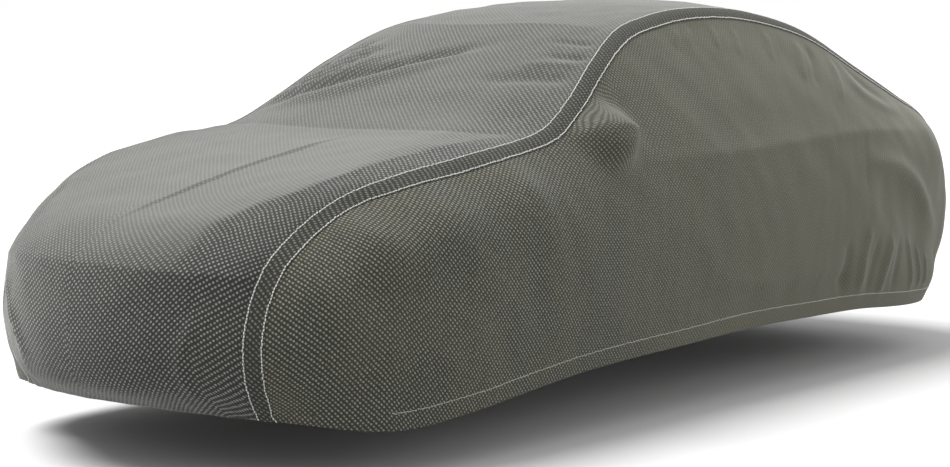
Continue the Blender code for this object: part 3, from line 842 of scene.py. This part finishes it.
def painted_light_share(n, x, y, z, pale):
    """Share of the plain, lighter colour painted on the upper side of the centre panel as light.

    It is full between the bonnet's shoulder creases and on the windscreen's middle, less on the
    roof and the windscreen's sides, and small past the creases: painted light from above, and
    painted shade where the share drops.
    """
    beside = n.math("ABSOLUTE", x)
    crease = BONNET_SHOULDER[0][1]
    for (start, near, _), (end, far, _) in zip(BONNET_SHOULDER, BONNET_SHOULDER[1:]):
        step = n.ramp(y, start - ORIGIN[1], end - ORIGIN[1], 0.0, far - near)
        crease = n.math("ADD", crease, step)
    past = n.math("SUBTRACT", beside, crease)
    inboard = n.ramp(past, *PAINTED_LIGHT_PAST_CREASE, 1.0, PAINTED_LIGHT_LEFT_PAST_CREASE)
    roof = n.ramp(z, *PAINTED_LIGHT_ROOF_Z, 1.0, PAINTED_LIGHT_LEFT_ON_ROOF)
    aside = n.ramp(beside, *PAINTED_LIGHT_SCREEN_X, 0.0, PAINTED_LIGHT_LOST_ASIDE)
    lost = n.math("MULTIPLY", n.ramp(z, *PAINTED_LIGHT_SCREEN_Z), aside)
    share = n.math("MULTIPLY", n.ramp(z, *PAINTED_LIGHT_Z, 0.0, pale), inboard)
    share = n.math("MULTIPLY", share, roof)
    return n.math("MULTIPLY", share, n.math("SUBTRACT", 1.0, lost))


def dot_lattice(n, cloth, pitch):
    """Place from the middle of its dot in a diagonal lattice, in pitches, and the dot's strength."""
    turn = n.tree.nodes.new("ShaderNodeMapping")
    turn.inputs["Rotation"].default_value = (0.0, 0.0, math.radians(45))
    turn.inputs["Scale"].default_value = (1 / pitch, 1 / pitch, 1.0)
    n.join(cloth, turn.inputs["Vector"])
    lattice = turn.outputs[0]
    chance = n.tree.nodes.new("ShaderNodeTexWhiteNoise")
    chance.noise_dimensions = "2D"
    n.join(n.vector("FLOOR", lattice), chance.inputs["Vector"])
    stray = n.vector("SUBTRACT", chance.outputs["Color"], (0.5, 0.5, 0.5))
    stray = n.vector("MULTIPLY", stray, (DOT_STRAY, DOT_STRAY, 0.0))
    place = n.vector("SUBTRACT", n.vector("FRACTION", lattice), (0.5, 0.5, 0.0))
    strength = n.ramp(chance.outputs["Value"], 0.0, 1.0, DOT_WEAKEST, 1.0)
    return n.vector("ADD", place, stray), strength


def dot_gap(n, place, z, turned_below):
    """Distance from the dot's middle, drawn out along one diagonal or the other."""
    gap = n.vector("LENGTH", n.vector("MULTIPLY", place, DOT_STRETCH), out=1)
    if turned_below:
        low_gap = n.vector("LENGTH", n.vector("MULTIPLY", place, DOT_STRETCH_LOW), out=1)
        high = n.ramp(z, turned_below, turned_below + DOT_TURN_BAND)
        rise = n.math("MULTIPLY", high, n.math("SUBTRACT", gap, low_gap))
        gap = n.math("ADD", low_gap, rise)
    return gap


def dotted_cloth(name, ground, ground_warm, plain, dot, pitch=0.0138, sheen=0.25, rear_fade_roof_light=0.75,
                 pale=0.0, turned_below=0.0):
    """Dark woven cloth with light raised dots on a diagonal lattice of the given pitch.

    Towards the rear the dots are flatter and the ground is plain, by the share worn. Up on the
    roof and the windscreen's upper part, a part of that share paints light from above in the same
    plain, lighter colour with flatter dots. The share pale paints it on the centre panel's upper
    side, with painted shade past the bonnet's shoulder creases. Below the height turned_below the
    dots are drawn out along the other diagonal.
    """
    material = bpy.data.materials.new(name)
    material.use_nodes = True
    tree = material.node_tree
    shader = tree.nodes["Principled BSDF"]
    n = Nodes(tree)
    uv = tree.nodes.new("ShaderNodeUVMap")
    uv.uv_map = "cloth"
    cloth = uv.outputs[0]
    spot = tree.nodes.new("ShaderNodeTexCoord")
    axes = tree.nodes.new("ShaderNodeSeparateXYZ")
    n.join(spot.outputs["Object"], axes.inputs[0])
    x, y, z = axes.outputs

    place, strength = dot_lattice(n, cloth, pitch)
    mask = n.ramp(dot_gap(n, place, z, turned_below), *DOT_RADII, 1.0, 0.0)
    rearwards = n.ramp(y, *REAR_FADE_Y, 0.0, rear_fade_roof_light)
    # Painted light: high up, on the roof and the windscreen's upper part, the colour turns plain and
    # lighter
    roof = n.ramp(z, *ROOF_LIGHT_Z, 0.0, rear_fade_roof_light * ROOF_LIGHT_SHARE)
    fade_and_roof_light = n.math("MAXIMUM", rearwards, roof)
    # Painted light from above on the centre panel's upper side: plain, lighter colour and sunken
    # dots, with painted shade past the shoulder creases and on the windscreen's sides
    painted_top_light = painted_light_share(n, x, y, z, pale) if pale else 0.0
    flat = n.math("MAXIMUM", fade_and_roof_light, n.math("MULTIPLY", painted_top_light, PAINTED_LIGHT_DOTS_SHARE))
    raised = n.math("MULTIPLY", mask, n.math("SUBTRACT", 1.0, flat))

    weave = n.noise(cloth, WEAVE_SCALE, 1.0)
    patches = n.noise(cloth, PATCH_SCALE, 3.0)
    base = n.mix(n.ramp(patches, *PATCH_BAND), (*ground, 1.0), (*ground_warm, 1.0))
    # The plain colour takes over towards the rear and where light from above is painted on high
    # surfaces
    base = n.mix(n.math("MAXIMUM", fade_and_roof_light, painted_top_light), base, (*plain, 1.0))
    base = n.mix(n.ramp(weave, *WEAVE_BAND, 0.0, WEAVE_SHARE), base, (*WEAVE_COLOUR, 1.0))
    bright = n.math("MULTIPLY", raised, strength)
    n.join(n.mix(bright, base, (*dot, 1.0)), shader.inputs["Base Color"])

    bump = tree.nodes.new("ShaderNodeBump")
    bump.inputs["Strength"].default_value = RELIEF_STRENGTH
    bump.inputs["Distance"].default_value = RELIEF
    relief = n.math("ADD", raised, n.math("MULTIPLY", weave, WEAVE_RELIEF_SHARE))
    n.join(relief, bump.inputs["Height"])
    n.join(bump.outputs[0], shader.inputs["Normal"])
    shader.inputs["Roughness"].default_value = 0.85
    shader.inputs["Specular IOR Level"].default_value = 0.20
    shader.inputs["Sheen Weight"].default_value = sheen
    shader.inputs["Sheen Roughness"].default_value = 0.45
    shader.inputs["Sheen Tint"].default_value = (0.95, 0.95, 0.92, 1.0)
    return material


def thread(name, colour):
    """Matt thread with a fine twist in its colour."""
    material = bpy.data.materials.new(name)
    material.use_nodes = True
    tree = material.node_tree
    shader = tree.nodes["Principled BSDF"]
    n = Nodes(tree)
    place = tree.nodes.new("ShaderNodeTexCoord")
    twist = n.noise(place.outputs["Object"], THREAD_SCALE, 1.0)
    dark = tuple(THREAD_DARK_SHARE * c for c in colour)
    n.join(n.mix(n.ramp(twist, *THREAD_BAND), (*dark, 1.0), (*colour, 1.0)),
           shader.inputs["Base Color"])
    shader.inputs["Roughness"].default_value = 0.75
    shader.inputs["Sheen Weight"].default_value = 0.3
    return material


def even_steps(path, step):
    """Fractional row numbers of places about step apart along a polyline."""
    total = np.insert(np.cumsum(np.linalg.norm(np.diff(path, axis=0), axis=1)), 0, 0.0)
    count = int(total[-1] / step)
    return np.interp((np.arange(count) + 0.5) * total[-1] / count, total, np.arange(len(path)))


def between(path, numbers):
    """Rows of a table at fractional row numbers."""
    i = np.minimum(numbers.astype(int), len(path) - 2)
    f = (numbers - i)[:, None]
    return path[i] * (1 - f) + path[i + 1] * f


def stitch_faces(count):
    """Faces of a number of stitches, each with its points in order: a tip, the rings, a tip."""
    ring = len(STITCH_TURNS)
    each = len(STITCH_RINGS) * ring + 2
    faces = []
    for k in range(ring - 1):
        faces.append((0, 1 + k, 2 + k))
        for r in range(len(STITCH_RINGS) - 1):
            a = 1 + r * ring + k
            faces.append((a, a + ring, a + ring + 1, a + 1))
        a = 1 + (len(STITCH_RINGS) - 1) * ring + k
        faces.append((a, each - 1, a + 1))
    return [tuple(v + i * each for v in face) for i in range(count) for face in faces]


def add_stitches(name, path, normals, size, material, mirrored, seed):
    """Row of small rounded stitches that lie on the cloth along a path."""
    width, height = size
    numbers = even_steps(path, STITCH_PITCH)
    count = len(numbers)
    middle = between(path, numbers)
    up = unit(between(normals, numbers))
    forth = unit(between(np.gradient(path, axis=0), numbers))
    side = unit(np.cross(up, forth))
    chance = np.random.default_rng(seed)
    middle = middle + side * chance.normal(0.0, STITCH_STRAY, count)[:, None]
    forth = unit(forth + side * chance.normal(0.0, STITCH_SLANT, count)[:, None])
    side = unit(np.cross(up, forth))
    long = STITCH_PITCH * chance.uniform(*STITCH_FILL, count)
    points = [middle - forth * long[:, None] / 2]
    for at, girth in STITCH_RINGS:
        for turn in STITCH_TURNS:
            points.append(middle + forth * (long * at)[:, None]
                          + side * (width / 2 * girth * math.cos(turn))
                          + up * (height * girth * math.sin(turn)))
    points.append(middle + forth * long[:, None] / 2)
    points = np.stack(points, axis=1)
    add_piece(name, points, stitch_faces(count), material, mirrored, turned=True)


def tape_grid(outer, seam, inner, outer_normal, seam_normal, inner_normal):
    """Points, normals and cloth coordinates of a flat tape laid in an arc over the seam."""
    rows = [(outer, outer_normal, -TAPE_EDGE_SINK)]
    for f in TAPE_SHARES:
        curve = outer * (1 - f) ** 2 + seam * 2 * f * (1 - f) + inner * f ** 2
        normal = unit(outer_normal * (1 - f) ** 2 + seam_normal * 2 * f * (1 - f)
                      + inner_normal * f ** 2)
        rows.append((curve, normal, TAPE_LIFT + TAPE_CROWN * math.sin(math.pi * f)))
    rows.append((inner, inner_normal, -TAPE_EDGE_SINK))
    grid = np.stack([curve + normal * lift for curve, normal, lift in rows], axis=1)
    normals = np.stack([normal for _, normal, _ in rows], axis=1)
    cloth = np.stack([lengths(grid, 1, 0), lengths(grid, 0, 0)], axis=-1)
    return grid, normals, cloth


def add_light(name, kind, place, target, power, size=None, soft=None):
    """Area light of a size, or a sun of a soft angle in degrees, aimed at a target."""
    data = bpy.data.lights.new(name, kind)
    data.energy = power
    if kind == "AREA":
        data.shape = "RECTANGLE"
        data.size, data.size_y = size
    else:
        data.angle = math.radians(soft)
    light = bpy.data.objects.new(name, data)
    bpy.context.scene.collection.objects.link(light)
    light.location = place
    aim = np.array(target, float) - np.array(place, float)
    yaw = math.atan2(-aim[0], aim[1])
    pitch = math.atan2(math.hypot(aim[0], aim[1]), -aim[2])
    light.rotation_euler = (pitch, 0.0, yaw)


def add_floor():
    """Plain pale floor at ground level."""
    ground = -ORIGIN[2]
    corners = [(-FLOOR_HALF, -FLOOR_HALF, ground), (FLOOR_HALF, -FLOOR_HALF, ground),
               (FLOOR_HALF, FLOOR_HALF, ground), (-FLOOR_HALF, FLOOR_HALF, ground)]
    mesh = bpy.data.meshes.new("floor")
    mesh.from_pydata(corners, [], [(0, 1, 2, 3)])
    material = bpy.data.materials.new("pale_floor")
    material.use_nodes = True
    shader = material.node_tree.nodes["Principled BSDF"]
    shader.inputs["Base Color"].default_value = (0.50, 0.50, 0.50, 1.0)
    shader.inputs["Roughness"].default_value = 0.9
    shader.inputs["Specular IOR Level"].default_value = 0.0
    mesh.materials.append(material)
    floor = bpy.data.objects.new("floor", mesh)
    bpy.context.scene.collection.objects.link(floor)


def add_lights():
    """Soft sun from above, a large light from the rear left, and white surroundings."""
    add_light("key", "SUN", (-3.2, -2.7, 9.0), (0, 0, 0), 5.2, soft=38)
    add_light("side_rear", "AREA", (7.5, 5.5, 3.0), (0.9, 1.3, 0.7), 200, size=(4.0, 3.0))
    world = bpy.data.worlds.new("studio")
    world.use_nodes = True
    background = world.node_tree.nodes["Background"]
    background.inputs["Color"].default_value = (1.0, 1.0, 1.0, 1.0)
    background.inputs["Strength"].default_value = 1.0
    bpy.context.scene.world = world
    bpy.context.scene.view_settings.view_transform = "Standard"


def add_camera():
    """Camera at the photograph's angle."""
    camera = bpy.data.cameras.new("camera")
    camera.lens = CAMERA_LENS
    camera.sensor_width = 36.0
    camera.clip_end = 400.0
    eye = bpy.data.objects.new("camera", camera)
    bpy.context.scene.collection.objects.link(eye)
    eye.location = CAMERA_PLACE - ORIGIN
    eye.rotation_euler = (math.radians(CAMERA_TILT), 0.0, math.radians(CAMERA_TURN))
    bpy.context.scene.camera = eye


def main():
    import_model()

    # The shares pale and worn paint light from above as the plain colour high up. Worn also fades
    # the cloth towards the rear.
    centre_dots = dotted_cloth(
        "centre_dots", ground=(0.010, 0.010, 0.009), ground_warm=(0.013, 0.013, 0.010),
        plain=(0.093, 0.093, 0.086), dot=(0.18, 0.18, 0.171), sheen=0.28, pale=0.65,
        turned_below=0.52)
    side_dots = dotted_cloth(
        "side_dots", ground=(0.015, 0.015, 0.011), ground_warm=(0.023, 0.023, 0.012),
        plain=(0.071, 0.071, 0.048), dot=(0.172, 0.172, 0.144), pitch=0.0130, sheen=0.15)
    tape_dots = dotted_cloth(
        "tape_dots", ground=(0.012, 0.012, 0.010), ground_warm=(0.015, 0.015, 0.011),
        plain=(0.030, 0.030, 0.023), dot=(0.12, 0.12, 0.105), sheen=0.06, rear_fade_roof_light=0.35)
    pale_thread = thread("pale_thread", (0.46, 0.46, 0.43))
    grey_thread = thread("grey_thread", (0.28, 0.28, 0.25))

    values = section_values()
    centre, centre_uv = centre_grid(values)
    side, side_uv = side_grid(values)
    centre_normals = grid_normals(centre)
    side_normals = grid_normals(side)

    # The tape bridges the seam in an arc, and the two panel edges dive under it.
    seam_normal = unit(centre_normals[:, -2] + side_normals[:, 1])
    ribbon, ribbon_normals, ribbon_uv = tape_grid(
        centre[:, -1 - UNDER_TAPE], centre[:, -1], side[:, UNDER_TAPE],
        centre_normals[:, -2 - UNDER_TAPE], seam_normal, side_normals[:, 1 + UNDER_TAPE])
    sink_under_tape(centre, side, seam_normal)
    centre_sheet, centre_sheet_uv = centre_with_hems(centre, centre_uv, centre_normals)
    side_sheet, side_sheet_uv = side_with_hem(side, side_uv, side_normals)
    hem_column = UNDER_TAPE + SIDE_ROWS
    first = int(np.argmin(np.abs(side[:, hem_column, 1] - HEM_STITCH_START_Y)))

    piece = add_grid("centre_cloth", centre_sheet, centre_sheet_uv, centre_dots)
    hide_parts("centre_panel")
    for side_name, mirrored in (("left", False), ("right", True)):
        panel = "side_panel_" + side_name
        piece = add_grid("side_cloth_" + side_name, side_sheet, side_sheet_uv, side_dots,
                         mirrored)
        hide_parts(panel)
        piece = add_grid("tape_cloth_" + side_name, ribbon, ribbon_uv, tape_dots,
                         mirrored)
        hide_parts("seam_tape_" + side_name)
        for row, column, seed in TAPE_STITCH_ROWS:
            add_stitches("stitches_" + row + "_" + side_name, ribbon[:, column],
                         ribbon_normals[:, column], TAPE_STITCH, pale_thread,
                         mirrored, seed)
        add_stitches("stitches_hem_" + side_name, side[first:, hem_column],
                     side_normals[first:, hem_column], HEM_STITCH, grey_thread,
                     mirrored, HEM_STITCH_SEED)
    add_floor()
    add_lights()
    add_camera()


main()
